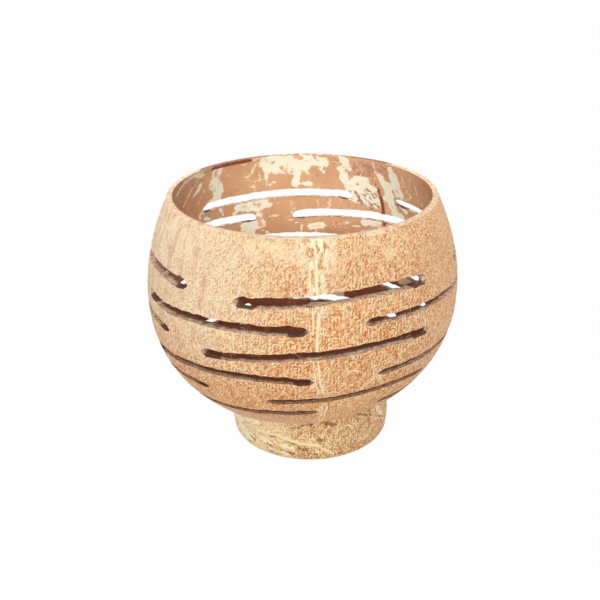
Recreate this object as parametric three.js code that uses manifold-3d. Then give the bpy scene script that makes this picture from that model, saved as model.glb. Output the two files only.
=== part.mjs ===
// Slotted coconut-shell cup: a whole shell cut open at its mouth, standing on a
// ring sawn from a second shell. Millimetres, +Z up, front of the cup towards -Y.
// The origin lies on the table, under the middle of the cup.

import * as THREE from 'three';
import { mergeVertices } from 'three/addons/utils/BufferGeometryUtils.js';
import Module from 'manifold-3d';

const wasm = await Module();
wasm.setup();

// Cup
const bellyRadius = 60;
const bellyHeight = 61.7;
const bottomHeight = 10.4;
const crownHeight = 138.5;
const rimHeight = 100.6;
const lowerFullness = 2.04;
const upperFullness = 1.884;
const wallAtRim = 2.1;
const wallAtBelly = 2.5;
const wallAtBottom = 3.4;
const rimEdgeRound = 0.5;
const ridgeSwell = 0.35;
const ridgeAngle = 6;
const bottomLean = 2.6;
const leanStartHeight = 80;
const leanCurve = 1.8;

// Saw slots
const slotWidth = 3.6;
const sawDiscRadius = 9;
const sawOvertravel = 1.6;
const cutterClearance = 2;
const topSlotHeight = 81.3;
const slotRowPitch = 9.4;
const driftStep = 0.2;

// Foot ring and its glue
const footBellyRadius = 32.1;
const footBellyHeight = 6;
const footArchHeight = 27.5;
const footFullness = 2.2;
const footWall = 3.4;
const footOffsetRight = 2.7;
const footOffsetBack = 1.2;
const footBaseBevel = 0.4;
const glueLegWidth = 3.2;
const glueLegHeight = 6.8;
const glueThroatHeight = 4.3;
const seatGap = 0.3;

// Facets
const turnSegments = 48;
const lowerRows = 8;
const upperRows = 5;
const footRows = 5;
const runOutSteps = 5;
const rollSteps = 8;

const degrees = Math.PI / 180;
const weldDistance = 0.0001;

// Every slot lies across one of the rows: its ends in degrees from the front towards +X, its width as
// a share of the usual one, then how many steps it strays from the height of the row at five evenly
// spaced places from its start to its end.
const slotRows = [
  [
    [-24, 48, 1, -10, -4, 4, 7, -1], [72, 136, 1, -9, -2, 2, 4, 8],
    [155, 231, 1.17, 3, 2, 1, -2, -2], [248, 317, 1, -10, -8, -5, -4, -4],
  ], [
    [-72, 2, 0.92, -17, -15, -6, -5, -3], [20, 90, 0.72, 2, 1, -2, -7, -10],
    [112, 186, 1.17, 8, 8, 5, 1, -7], [199, 270, 1.17, -5, -1, 0, 0, -4],
  ], [
    [-36, 48, 0.86, -20, -10, 1, 6, -1], [74, 132, 1, -2, -2, -1, -1, -2],
    [152, 226, 1, -12, -11, -10, -11, -12], [248, 308, 0.75, -13, -10, -8, -8, -9],
  ], [
    [-72, 4, 0.76, -29, -17, -9, -3, -8], [26, 92, 0.65, -9, -7, -7, -9, -11],
    [110, 182, 0.9, -8, -8, -8, -9, -10], [202, 272, 0.9, -10, -10, -10, -11, -12],
  ], [
    [-13, 53, 0.65, -12, -5, -1, 3, -4], [70, 142, 0.85, -5, -2, 0, 1, 2],
    [160, 228, 0.9, -8, -7, -7, -8, -8], [252, 324, 0.68, -15, -13, -10, -9, -8],
  ], [
    [-69, 7, 0.75, -23, -17, -10, 0, 7], [32, 92, 0.7, 1, 4, 5, 4, 3],
    [110, 186, 0.9, -4, -2, -1, 0, 0], [206, 270, 0.9, -9, -9, -9, -10, -10],
  ],
];

// Radius of an oval arch of the given half width and height, a distance away from its widest level.
function archRadius(width, height, fullness, distance) {
  const share = Math.min(distance / height, 1);
  return width * (1 - share ** fullness) ** (1 / fullness);
}

function outerRadius(level) {
  if (level < bellyHeight) {
    return archRadius(bellyRadius, bellyHeight - bottomHeight, lowerFullness, bellyHeight - level);
  }
  return archRadius(bellyRadius, crownHeight - bellyHeight, upperFullness, level - bellyHeight);
}

function innerRadius(level) {
  if (level < bellyHeight) {
    const depth = bellyHeight - bottomHeight - wallAtBottom;
    return archRadius(bellyRadius - wallAtBelly, depth, lowerFullness, bellyHeight - level);
  }
  const share = (level - bellyHeight) / (rimHeight - bellyHeight);
  return outerRadius(level) - THREE.MathUtils.lerp(wallAtBelly, wallAtRim, share);
}

// Level of the cup's underside at a distance from the axis.
function undersideLevel(radius) {
  return bellyHeight - archRadius(bellyHeight - bottomHeight, bellyRadius, lowerFullness, radius);
}

// Outside of the foot ring, a slice of a smaller shell that is widest a little above the table.
function footRadius(level) {
  return archRadius(footBellyRadius, footArchHeight, footFullness, Math.abs(level - footBellyHeight));
}

// Levels of the lower half, closer together towards the bottom where the wall turns under.
function lowerLevels(bottom) {
  const levels = [];
  for (let row = 1; row <= lowerRows; row += 1) {
    levels.push(bellyHeight - (bellyHeight - bottom) * Math.cos((row / lowerRows) * Math.PI / 2));
  }
  return levels;
}

function upperLevels(top) {
  const levels = [];
  for (let row = 1; row <= upperRows; row += 1) {
    levels.push(THREE.MathUtils.lerp(bellyHeight, top, row / upperRows));
  }
  return levels;
}

// Wall of the cup as a closed profile of [radius, level], from the pole outside to the pole inside.
function cupProfile() {
  const edge = rimHeight - rimEdgeRound;
  const innerBottom = bottomHeight + wallAtBottom;
  const outside = [...lowerLevels(bottomHeight), ...upperLevels(edge)].map((z) => [outerRadius(z), z]);
  const inside = [...lowerLevels(innerBottom), ...upperLevels(edge)].map((z) => [innerRadius(z), z]);
  const rim = [
    [outerRadius(rimHeight) - rimEdgeRound, rimHeight],
    [innerRadius(rimHeight) + rimEdgeRound, rimHeight],
  ];
  return [[0, bottomHeight], ...outside, ...rim, ...inside.reverse(), [0, innerBottom]];
}

// Outside of the cup grown by a gap and closed over, for what has to fit up against it.
function cupEnvelopeProfile(gap) {
  const levels = [...lowerLevels(bottomHeight), ...upperLevels(rimHeight)];
  const skin = levels.map((z) => [outerRadius(z) + gap, z - gap]);
  return [[0, bottomHeight - gap], ...skin, [0, rimHeight]];
}

// The three natural ridges of the shell make its section very slightly three-sided.
function ridgeFactor(angle) {
  return 1 + (ridgeSwell / bellyRadius) * Math.cos(3 * (angle - ridgeAngle * degrees));
}

// The nut grew a little to one side: how far its sections lie towards -X at a level.
function leanAt(level) {
  const share = (leanStartHeight - level) / (leanStartHeight - bottomHeight);
  return bottomLean * THREE.MathUtils.clamp(share, 0, 1) ** leanCurve;
}

function indexedGeometry(positions, indices) {
  const geometry = new THREE.BufferGeometry();
  geometry.setAttribute('position', new THREE.Float32BufferAttribute(positions, 3));
  geometry.setIndex(indices);
  return geometry;
}

// Turns a profile whose ends lie on the leaning axis, with the angle counted from the front towards +X.
function turnedSolid(profile) {
  const positions = [];
  const indices = [];
  const rings = profile.slice(1, -1);
  const ends = [profile[0], profile[profile.length - 1]];
  for (const [radius, level] of rings) {
    for (let step = 0; step < turnSegments; step += 1) {
      const angle = (step / turnSegments) * Math.PI * 2;
      const reach = radius * ridgeFactor(angle);
      positions.push(reach * Math.sin(angle) - leanAt(level), -reach * Math.cos(angle), level);
    }
  }
  for (const [, level] of ends) {
    positions.push(-leanAt(level), 0, level);
  }
  const firstPole = rings.length * turnSegments;
  const lastPole = firstPole + 1;
  const lastRing = (rings.length - 1) * turnSegments;
  for (let step = 0; step < turnSegments; step += 1) {
    const next = (step + 1) % turnSegments;
    indices.push(firstPole, next, step);
    indices.push(lastPole, lastRing + step, lastRing + next);
    for (let ring = 0; ring < rings.length - 1; ring += 1) {
      const low = ring * turnSegments;
      const high = low + turnSegments;
      indices.push(low + step, low + next, high + next);
      indices.push(low + step, high + next, high + step);
    }
  }
  return indexedGeometry(positions, indices);
}

function toSolid(geometry) {
  const bare = geometry.clone();
  bare.deleteAttribute('normal');
  bare.deleteAttribute('uv');
  const welded = mergeVertices(bare, weldDistance);
  const mesh = new wasm.Mesh({
    numProp: 3,
    vertProperties: new Float32Array(welded.attributes.position.array),
    triVerts: new Uint32Array(welded.index.array),
  });
  return new wasm.Manifold(mesh);
}

function toGeometry(solid) {
  const mesh = solid.getMesh();
  const geometry = new THREE.BufferGeometry();
  geometry.setAttribute('position', new THREE.BufferAttribute(mesh.vertProperties, mesh.numProp));
  geometry.setIndex(new THREE.BufferAttribute(mesh.triVerts, 1));
  geometry.computeVertexNormals();
  return geometry;
}

// Value at a share of the way along a list of evenly spaced values.
function valueAlong(values, share) {
  const last = values.length - 1;
  const place = THREE.MathUtils.clamp(share, 0, 1) * last;
  const before = Math.min(Math.floor(place), last - 1);
  return THREE.MathUtils.lerp(values[before], values[before + 1], place - before);
}

// Distance from the axis that the saw comes to: a little inside the wall over the width of the cut.
function sawReach(level, width) {
  return Math.min(innerRadius(level - width / 2), innerRadius(level + width / 2)) - sawOvertravel;
}

// Plan of a slot's end as [angle, distance from the axis], where the saw disc that stands at the
// given angle comes out of the wall, from its innermost point to its widest as seen from the axis.
function runOut(reach, angle) {
  const points = [];
  const widestSwing = Math.acos(sawDiscRadius / (reach + sawDiscRadius));
  for (let step = 0; step <= runOutSteps; step += 1) {
    const swing = (step / runOutSteps) * widestSwing;
    const across = sawDiscRadius * Math.sin(swing);
    const away = reach + sawDiscRadius * (1 - Math.cos(swing));
    points.push([angle + Math.atan2(across, away), Math.hypot(across, away)]);
  }
  return points;
}

// Inner edge of a slot's cutter in plan, from the run-out at one end over the roll to the other end.
function cutterPlan(reach, turn) {
  const end = runOut(reach, turn);
  const start = end.map(([angle, distance]) => [-angle, distance]).reverse();
  const roll = [];
  for (let step = 1; step < rollSteps; step += 1) {
    roll.push([THREE.MathUtils.lerp(-turn, turn, step / rollSteps), reach]);
  }
  return [...start, ...roll, ...end];
}

// Space swept by a saw disc that is pushed through the wall and rolled along it. It strays up and
// down, follows the wall in and out, and runs out to a point on the outside at both its ends.
function slotCutter([start, end, widthShare, ...steps], rowHeight) {
  const width = slotWidth * widthShare;
  const heights = steps.map((step) => rowHeight + step * driftStep);
  const halfSpan = ((end - start) / 2) * degrees;
  const middleAngle = ((start + end) / 2) * degrees;
  const middleLevel = valueAlong(heights, 1 / 2);
  const reach = sawReach(middleLevel, width);
  const discPath = reach + sawDiscRadius;
  const widest = Math.sqrt(discPath ** 2 - sawDiscRadius ** 2);
  const skin = Math.min(outerRadius(middleLevel), widest);
  const lead = Math.acos((discPath ** 2 + skin ** 2 - sawDiscRadius ** 2) / (2 * discPath * skin));
  const outside = Math.max(widest, outerRadius(middleLevel + width / 2)) + cutterClearance;
  const plan = cutterPlan(reach, halfSpan - lead);
  const positions = [];
  const indices = [0, 2, 1, 0, 3, 2];
  plan.forEach(([angle, near], column) => {
    const level = valueAlong(heights, (angle / halfSpan + 1) / 2);
    const spread = sawReach(level, width) / reach;
    const [low, high] = [level - width / 2, level + width / 2];
    for (const [distance, z] of [[near, low], [near, high], [outside, high], [outside, low]]) {
      const across = distance * spread * Math.sin(middleAngle + angle);
      const ahead = distance * spread * Math.cos(middleAngle + angle);
      positions.push(across - leanAt(level), -ahead, z);
    }
    const first = column * 4;
    if (column === plan.length - 1) {
      indices.push(first, first + 1, first + 2, first, first + 2, first + 3);
      return;
    }
    for (let corner = 0; corner < 4; corner += 1) {
      const [here, next] = [first + corner, first + ((corner + 1) % 4)];
      indices.push(here, next, here + 4, next, next + 4, here + 4);
    }
  });
  return toSolid(indexedGeometry(positions, indices));
}

function slottedCup() {
  let cup = toSolid(turnedSolid(cupProfile()));
  slotRows.forEach((slots, row) => {
    for (const slot of slots) {
      cup = cup.subtract(slotCutter(slot, topSlotHeight - row * slotRowPitch));
    }
  });
  return toGeometry(cup);
}

// Ring turned from a closed profile and set under the cup, then scribed to the cup's underside.
function scribedRing(profile) {
  const points = [...profile, profile[0]].map(([x, y]) => new THREE.Vector2(x, y));
  const ring = new THREE.LatheGeometry(points, turnSegments);
  ring.rotateX(Math.PI / 2);
  ring.translate(footOffsetRight, footOffsetBack, 0);
  const envelope = toSolid(turnedSolid(cupEnvelopeProfile(seatGap)));
  return toGeometry(toSolid(ring).subtract(envelope));
}

// Levels up a ring's wall, from a lowest one to where the wall is inside the cup on every side.
function ringLevels(bottom) {
  const top = undersideLevel(footBellyRadius + Math.hypot(footOffsetRight + bottomLean, footOffsetBack));
  const levels = [];
  for (let row = 0; row <= footRows; row += 1) {
    levels.push(THREE.MathUtils.lerp(bottom, top, row / footRows));
  }
  return levels;
}

function footRing() {
  const levels = ringLevels(footBaseBevel);
  const base = footRadius(0);
  return scribedRing([
    [base - footWall + footBaseBevel, 0],
    [base - footBaseBevel, 0],
    ...levels.map((z) => [footRadius(z), z]),
    ...levels.map((z) => [footRadius(z) - footWall, z]).reverse(),
  ]);
}

// Fillet of glue in the corner between the inside of the ring and the underside of the cup.
function glueFillet() {
  const corner = undersideLevel(footBellyRadius - footWall);
  const levels = ringLevels(corner - glueLegHeight);
  const outside = levels.map((z) => [footRadius(z) - footWall - seatGap, z]);
  const inside = footRadius(corner) - footWall - seatGap - glueLegWidth;
  const top = levels[footRows];
  return scribedRing([...outside, [inside, top], [inside, corner - glueThroatHeight]]);
}

function piece(name, geometry, color, roughness) {
  const mesh = new THREE.Mesh(geometry, new THREE.MeshStandardMaterial({ color, roughness, metalness: 0 }));
  mesh.name = name;
  return mesh;
}

const coconutCup = new THREE.Group();
coconutCup.add(piece('shell_bowl', slottedCup(), '#d9b07c', 0.6));
coconutCup.add(piece('foot_ring', footRing(), '#cfa878', 0.6));
coconutCup.add(piece('glue_fillet', glueFillet(), '#d8c79a', 0.35));

export default coconutCup;
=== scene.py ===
import math
import random

import bpy
import numpy as np
from mathutils import Matrix, Vector, noise


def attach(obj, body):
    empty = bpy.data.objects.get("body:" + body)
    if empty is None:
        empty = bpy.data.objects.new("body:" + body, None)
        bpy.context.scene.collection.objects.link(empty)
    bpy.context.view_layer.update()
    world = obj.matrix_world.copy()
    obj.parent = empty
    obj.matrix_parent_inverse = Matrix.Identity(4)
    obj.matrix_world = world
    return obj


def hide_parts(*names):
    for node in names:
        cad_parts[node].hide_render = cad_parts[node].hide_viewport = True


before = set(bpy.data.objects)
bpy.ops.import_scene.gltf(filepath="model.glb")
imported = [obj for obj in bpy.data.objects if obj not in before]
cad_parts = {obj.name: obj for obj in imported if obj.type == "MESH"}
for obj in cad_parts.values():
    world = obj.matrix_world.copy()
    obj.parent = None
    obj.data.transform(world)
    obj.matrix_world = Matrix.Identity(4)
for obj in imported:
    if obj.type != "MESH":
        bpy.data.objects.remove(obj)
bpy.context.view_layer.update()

# Sizes are in millimetres up to to_metres; the materials, the light and the camera use Blender's metres
MM = 0.001

# Cup
BELLY_RADIUS = 60.0
BELLY_HEIGHT = 61.7
BOTTOM_HEIGHT = 10.4
CROWN_HEIGHT = 138.5
RIM_HEIGHT = 100.6
LOWER_FULLNESS = 2.04
UPPER_FULLNESS = 1.884
WALL_AT_RIM = 2.1
WALL_AT_BELLY = 2.5
WALL_AT_BOTTOM = 3.4
BOTTOM_LEAN = 2.6
LEAN_START_HEIGHT = 80.0
LEAN_CURVE = 1.8
RIM_EDGE = 0.35
COLUMNS = 300
OUTSIDE_ROWS = 80
INSIDE_ROWS = 54
# Rows above the belly, as a share of those below it
UPPER_ROWS = 0.55
# Kinds of face, in the order of the cup's materials, and how far each may turn and lie aside
SKIN, LINING, SAWN, RIM = range(4)
FACING = 0.75
FACE_DEPTH = 1.1
UNCUT_BELOW = 30
RIM_FACING = 0.5
RIM_DEPTH = 0.8
SHARP_ANGLE = math.radians(40)

# Ridges of the nut: degrees from the front towards +X, and how far and how deep they bend below the belly
RIDGES = (4.4, 139.0, -112.0)
RIDGE_BEND = 4.0
RIDGE_BEND_DEPTH = 30
RIDGE_RISE = 0.4
RIDGE_HALF_WIDTH = 0.9
STREAK_HALF_WIDTH = 6.0
STREAK_LOWEST = 66.0
# Pale fibres along a ridge, then painted shadows beside it: distance from it and half width, in radians round
# the cup
RIDGE_FIBRES = ((0.0, 0.0085), (0.046, 0.0040), (0.030, 0.0035), (-0.030, 0.0050), (-0.060, 0.0045))
RIDGE_SHADOWS = ((0.0125, 0.0030), (0.052, 0.0030))
# Pale places of the outer skin near the mouth, as strokes: angle and level of both ends, then the half width
SKIN_PALE = (
    (-20, 99, -17, 93, 1.6), (-13, 99, -6, 95, 2.6), (-9, 96, -1, 94, 1.8), (-30, 97, -24, 92, 1.2),
    (-62, 97, -52, 92, 3.5), (-50, 95, -42, 90, 2.5), (-72, 94, -60, 84, 3.0), (8, 99, 10, 90, 1.4),
    (-2, 99, 1, 88, 1.0), (28, 97, 33, 92, 1.5), (120, 97, 132, 90, 3.0), (-160, 96, -150, 88, 3.0),
)

# Slots: width of the cut, and the disc that made it with its rounded edge
SLOT_WIDTH = 3.6
DISC_RADIUS = 9.0
DISC_EDGE = 2.4
OVERTRAVEL = 1.6
TOP_SLOT_HEIGHT = 81.3
ROW_PITCH = 9.4
DRIFT_STEP = 0.2
EASING = np.array((-0.08, -0.03, 0.03, 0.08))
CUT_DEPTHS = (0.0, 0.12, 0.4, 0.9, 1.6, 2.6, 3.8, 4.5, 5.2)
CUT_STEP = 0.75
LEAST_CUT_COLUMNS = 40
# Places at a slot's ends where the disc was held less steadily: range of place, half width and height
LOBE_PLACES = (-1.1, 0.55)
LOBE_HALF_WIDTHS = (0.8, 1.9)
LOBE_HEIGHTS = (0.05, 0.32)
# Ends of each slot in degrees from the front towards +X, its share of the width, and how many steps it
# strays from its row at five evenly spaced places
SLOT_ROWS = (
    (
        (-24, 48, 1, -10, -4, 4, 7, -1), (72, 136, 1, -9, -2, 2, 4, 8),
        (155, 231, 1.17, 3, 2, 1, -2, -2), (248, 317, 1, -10, -8, -5, -4, -4),
    ), (
        (-72, 2, 0.92, -17, -15, -6, -5, -3), (20, 90, 0.72, 2, 1, -2, -7, -10),
        (112, 186, 1.17, 8, 8, 5, 1, -7), (199, 270, 1.17, -5, -1, 0, 0, -4),
    ), (
        (-36, 48, 0.86, -20, -10, 1, 6, -1), (74, 132, 1, -2, -2, -1, -1, -2),
        (152, 226, 1, -12, -11, -10, -11, -12), (248, 308, 0.75, -13, -10, -8, -8, -9),
    ), (
        (-72, 4, 0.76, -29, -17, -9, -3, -8), (26, 92, 0.65, -9, -7, -7, -9, -11),
        (110, 182, 0.9, -8, -8, -8, -9, -10), (202, 272, 0.9, -10, -10, -10, -11, -12),
    ), (
        (-13, 53, 0.65, -12, -5, -1, 3, -4), (70, 142, 0.85, -5, -2, 0, 1, 2),
        (160, 228, 0.9, -8, -7, -7, -8, -8), (252, 324, 0.68, -15, -13, -10, -9, -8),
    ), (
        (-69, 7, 0.75, -23, -17, -10, 0, 7), (32, 92, 0.7, 1, 4, 5, 4, 3),
        (110, 186, 0.9, -4, -2, -1, 0, 0), (206, 270, 0.9, -9, -9, -9, -10, -10),
    ),
)
END_TAPER = 2.2
# Scorched places: degrees from the slot's end where they are full, stop and fade, half height and amount
SCORCH_FULL = 2
SCORCH_STOP = 10
SCORCH_FADE = 4
SCORCH_HALF_HEIGHT = 3.5
SCORCH_AMOUNT = 0.75
# Ends of slots that the disc scorched: row and angle
SCORCHED_ENDS = (
    (0, -24), (0, 48), (0, 317), (0, 136), (0, 155), (0, 231), (1, -72), (1, 2), (1, 186), (1, 199),
    (2, -36), (2, 48), (2, 308), (2, 132), (2, 152), (3, -72), (3, 4), (3, 182), (3, 202), (4, 324),
)

# Pale places of the lining, as strokes: angle and level of both ends, then the half width
LINING_STROKES = (
    (224, 98, 225, 91, 2.4), (224, 91, 221, 87, 2.6), (221, 87, 222, 83, 2.4), (222, 83, 226, 83, 1.2),
    (234, 98, 241, 99, 1.2), (241, 99, 249, 98, 1.0), (249, 98, 253, 94, 0.9), (234, 93, 235, 91, 0.9),
    (235, 91, 237, 89, 0.6), (229, 80, 230, 77, 1.4), (228, 76, 225, 75, 1.0), (230, 82, 228, 80, 0.6),
    (199, 98, 196, 94, 2.0), (197, 99, 190, 99, 1.4), (190, 98, 179, 99, 1.6), (192, 95, 178, 95, 2.4),
    (193, 93, 182, 92, 1.2), (182, 91, 183, 86, 1.8), (183, 86, 176, 86, 0.8), (197, 91, 197, 88, 0.6),
    (196, 86, 193, 87, 0.6), (208, 79, 197, 78, 1.5), (210, 77, 199, 75, 1.6), (198, 76, 195, 76, 1.2),
    (212, 74, 210, 76, 0.8), (200, 72, 199, 70, 1.4), (207, 68, 198, 67, 1.6), (207, 66, 202, 64, 1.4),
    (202, 65, 198, 67, 1.2), (219, 78, 217, 75, 0.6), (179, 99, 169, 98, 1.6), (175, 97, 168, 96, 1.2),
    (179, 94, 177, 91, 0.8), (172, 95, 169, 92, 0.5), (160, 100, 157, 99, 1.2), (159, 98, 157, 95, 1.6),
    (161, 94, 159, 90, 1.6), (160, 90, 158, 86, 1.8), (158, 87, 153, 90, 1.6), (153, 90, 149, 90, 1.8),
    (156, 85, 151, 86, 1.6), (149, 88, 145, 86, 1.4), (133, 98, 132, 95, 1.4), (132, 95, 132, 91, 2.4),
    (137, 90, 137, 85, 2.2), (133, 90, 131, 87, 2.4), (140, 93, 139, 89, 1.4), (143, 95, 140, 93, 0.7),
    (140, 83, 136, 82, 1.4), (137, 81, 135, 77, 2.0), (135, 77, 131, 76, 1.2), (132, 82, 128, 79, 0.6),
    (176, 65, 171, 66, 1.4), (163, 67, 158, 68, 0.6), (151, 69, 144, 70, 1.6), (157, 82, 145, 80, 3.0),
    (300, 84, 310, 78, 3.0), (330, 64, 338, 60, 4.0), (20, 58, 28, 52, 3.5), (275, 62, 270, 56, 3.5),
    (112, 82, 104, 88, 3.0), (80, 72, 70, 76, 3.5), (120, 54, 128, 50, 3.5), (215, 50, 205, 46, 4.0),
    (60, 42, 50, 36, 4.0), (160, 36, 170, 32, 3.5), (310, 38, 320, 34, 3.5), (15, 88, 24, 84, 3.0),
    (0, 44, 350, 38, 3.5), (250, 74, 258, 70, 3.0), (40, 74, 34, 68, 2.5), (350, 76, 344, 72, 2.0),
)
# More strokes: fine pale lines, ochre spots of the pale places, hatched places, dark seams and scratches
LINING_VEINS = (
    (203, 97, 205, 92, 0.5), (204, 99, 202, 97, 0.5), (206, 92, 208, 91, 0.4), (208, 87, 202, 86, 0.5),
    (209, 85, 207, 86, 0.4), (213, 88, 211, 87, 0.4), (210, 98, 208, 97, 0.5), (195, 78, 194, 75, 0.5),
    (198, 70, 190, 71, 0.5), (192, 79, 190, 75, 0.4), (190, 74, 184, 74, 0.3), (187, 69, 182, 67, 0.5),
    (180, 66, 180, 63, 0.5), (182, 67, 180, 66, 0.4), (198, 64, 195, 63, 0.5), (165, 93, 161, 93, 0.5),
    (117, 95, 118, 89, 0.4), (124, 94, 122, 91, 0.4), (116, 89, 115, 85, 0.4), (125, 90, 123, 87, 0.6),
    (119, 87, 117, 86, 0.4), (126, 96, 126, 93, 0.5), (143, 100, 142, 92, 0.5), (170, 66, 168, 65, 0.5),
    (166, 69, 166, 66, 0.4), (165, 66, 162, 65, 0.4), (160, 66, 153, 67, 0.5), (170, 80, 171, 77, 0.3),
    (161, 80, 162, 78, 0.3), (158, 80, 157, 78, 0.4), (240, 92, 244, 86, 0.5), (230, 90, 233, 84, 0.4),
)
LINING_OCHRE = (
    (225, 97, 225, 95, 0.8), (224, 89, 223, 88, 0.8), (190, 95, 189, 93, 0.7), (187, 94, 187, 92, 0.5),
    (185, 93, 184, 92, 0.7), (184, 100, 180, 99, 0.9), (202, 78, 200, 76, 0.8), (200, 70, 199, 67, 1.0),
    (173, 99, 172, 98, 0.9), (230, 79, 229, 77, 0.8), (132, 88, 131, 84, 0.6),
)
LINING_HATCHED = ((156, 82, 146, 78, 2.6), (149, 85, 146, 82, 1.2), (140, 97, 136, 92, 1.0))
LINING_SEAMS = (
    (145, 92, 144, 88, 0.4), (143, 87, 142, 83, 0.7), (142, 83, 141, 70, 0.9), (206, 99.6, 228, 99.4, 0.9),
)
LINING_SCRATCHES = (
    (154, 97, 153, 93, 1.2), (153, 93, 147, 93, 1.1), (149, 98, 145, 96, 1.6), (140, 99, 136, 98, 0.9),
)
HATCH_ANGLE = math.radians(-50)
# Darkened places of the rim: angle, half width and amount
RIM_STAINS = ((-145, 26, 1.0), (145, 22, 0.75), (180, 60, 0.5))

# Foot
FOOT_BELLY_RADIUS = 32.1
FOOT_BELLY_HEIGHT = 6.0
FOOT_ARCH_HEIGHT = 27.5
FOOT_FULLNESS = 2.2
FOOT_WALL = 3.4
FOOT_OFFSET = (2.7, 1.2)
FOOT_EDGE = 0.25
SEAT_GAP = 0.3
FOOT_COLUMNS = 360
FOOT_WALL_ROWS = 36
# Sawn faces of the foot: how far they face up or down, and the level that those of the base lie below
FLAT_FACING = 0.7
BASE_LEVEL = 0.35
# Pale and dark places on the foot, and the fibre that lies across it, as strokes
FOOT_PALE = (
    (-65, 7.3, -60, 4.9, 2.0), (-60, 4.9, -48, 4.6, 2.2), (-48, 4.6, -55, 1.7, 1.8),
    (-41, 7.5, -34, 6.0, 1.5), (-34, 6.0, -29, 5.5, 1.0), (-61, 9.5, -47, 12.9, 1.4),
    (-46, 11.6, -39, 12.8, 1.0), (-33, 10.1, -31, 10.1, 0.7), (-24, 5.8, -18, 5.6, 1.2),
    (-18, 5.6, -13, 4.5, 1.1), (-34, 3.3, -15, 2.2, 0.4), (57, 15.6, 64, 10.6, 1.4),
    (-75, 8, -66, 5, 2.2), (150, 8, 170, 6, 2.2), (-120, 9, -100, 6, 2.0), (100, 6, 112, 9, 1.6),
)
FOOT_FIBRES = (
    (-41, 9.4, -23, 9.9, 0.6), (-23, 9.9, -7, 7.9, 0.8), (-7, 7.9, 5, 6.9, 0.8), (5, 6.9, 15, 2.6, 0.6),
    (-1, 7.1, 5, 3.9, 0.4), (10, 7.2, 14, 5.3, 0.3), (16, 4.1, 19, 2.1, 0.3), (-9, 10.4, -4, 10.4, 0.3),
    (-3, 10.2, 3, 9.9, 0.3), (5, 12.1, 8, 10.6, 0.3), (11, 10.9, 13, 7.5, 0.3), (50, 13.4, 68, 6.2, 0.4),
    (28, 13.5, 31, 12.0, 0.4), (-150, 10, -128, 4, 0.4),
)
FOOT_DARK = (
    (4, 16.5, 10, 16.3, 0.4), (-33, 4.6, -21, 3.6, 0.3), (-21, 3.6, -12, 2.5, 0.3), (-36, 2.5, -25, 0.8, 0.3),
    (-30, 8.8, -25, 9.2, 0.4), (-18, 8.1, -12, 7.2, 0.3), (4, 9.9, 7, 8.8, 0.6), (-9, 5.4, -3, 5.0, 0.6),
    (0, 3.5, 3, 2.9, 0.4), (19, 2.1, 23, 1.5, 0.3), (36, 16.5, 46, 14.1, 0.5), (46, 14.7, 57, 10.8, 0.3),
    (57, 11.1, 71, 6.0, 0.3), (11, 15.4, 18, 14.9, 0.6), (-7, 15.0, 0, 15.4, 0.4), (-14, 13.7, -7, 14.9, 0.3),
    (-50, 5.6, -44, 4.0, 0.3), (-56, 2.6, -48, 1.6, 0.3), (130, 5, 145, 4, 0.5),
)

# Glue under the cup, inside the ring
GLUE_HEIGHT = 6.4
GLUE_WIDTH = 3.0
GLUE_COLUMNS = 180
GLUE_FACE_ROWS = 8

# Camera, solved from the outline and the slots: distance and aim in millimetres, focal length in pixels
VIEW_DISTANCE = 350.0
VIEW_FOCAL = 880.6
VIEW_ELEVATION = math.radians(25.0)
VIEW_ROLL = -0.008
VIEW_AIM = (-1.2, 0.3, 54.9)
FRAME_PIXELS = 600.0
SENSOR_WIDTH = 36

# Light and floor
WORLD_COLOR = (1.0, 0.985, 0.965, 1)
WORLD_STRENGTH = 0.70
FLOOR_COLOR = (0.8, 0.8, 0.8, 1)
FLOOR_WHITENESS = 0.978
FLOOR_SIZE = 6
FLOOR_LEVEL = -0.0002
LAMP_COLOR = (1.0, 0.98, 0.95)
LAMP_AIM = (0, 0, 0.05)
MOUTH_AIM = (0, 0.035, 0.10)
MOUTH_CONE = math.radians(12)
MOUTH_FLATNESS = 0.42


# Profile of the cup

def arch(width, height, fullness, distance):
    share = np.clip(distance / height, 0, 1)
    return width * (1 - share ** fullness) ** (1 / fullness)


def outer_radius(level):
    level = np.asarray(level, float)
    low = arch(BELLY_RADIUS, BELLY_HEIGHT - BOTTOM_HEIGHT, LOWER_FULLNESS, BELLY_HEIGHT - level)
    high = arch(BELLY_RADIUS, CROWN_HEIGHT - BELLY_HEIGHT, UPPER_FULLNESS, level - BELLY_HEIGHT)
    return np.where(level < BELLY_HEIGHT, low, high)


def inner_radius(level):
    level = np.asarray(level, float)
    depth = BELLY_HEIGHT - BOTTOM_HEIGHT - WALL_AT_BOTTOM
    low = arch(BELLY_RADIUS - WALL_AT_BELLY, depth, LOWER_FULLNESS, BELLY_HEIGHT - level)
    share = np.clip((level - BELLY_HEIGHT) / (RIM_HEIGHT - BELLY_HEIGHT), 0, 1)
    high = outer_radius(level) - WALL_AT_BELLY - (WALL_AT_RIM - WALL_AT_BELLY) * share
    return np.where(level < BELLY_HEIGHT, low, high)


def lean(level):
    """How far towards -X the sections of the nut lie at a level."""
    share = (LEAN_START_HEIGHT - np.asarray(level, float)) / (LEAN_START_HEIGHT - BOTTOM_HEIGHT)
    return BOTTOM_LEAN * np.clip(share, 0, 1) ** LEAN_CURVE


def underside(spot):
    """Level of the cup's underside over a spot of the table."""
    level = BOTTOM_HEIGHT
    for _ in range(5):
        reach = math.hypot(spot.x + float(lean(level)), spot.y)
        level = BELLY_HEIGHT - float(arch(BELLY_HEIGHT - BOTTOM_HEIGHT, BELLY_RADIUS, LOWER_FULLNESS, reach))
    return level


def foot_radius(level):
    return float(arch(FOOT_BELLY_RADIUS, FOOT_ARCH_HEIGHT, FOOT_FULLNESS, abs(level - FOOT_BELLY_HEIGHT)))


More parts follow.
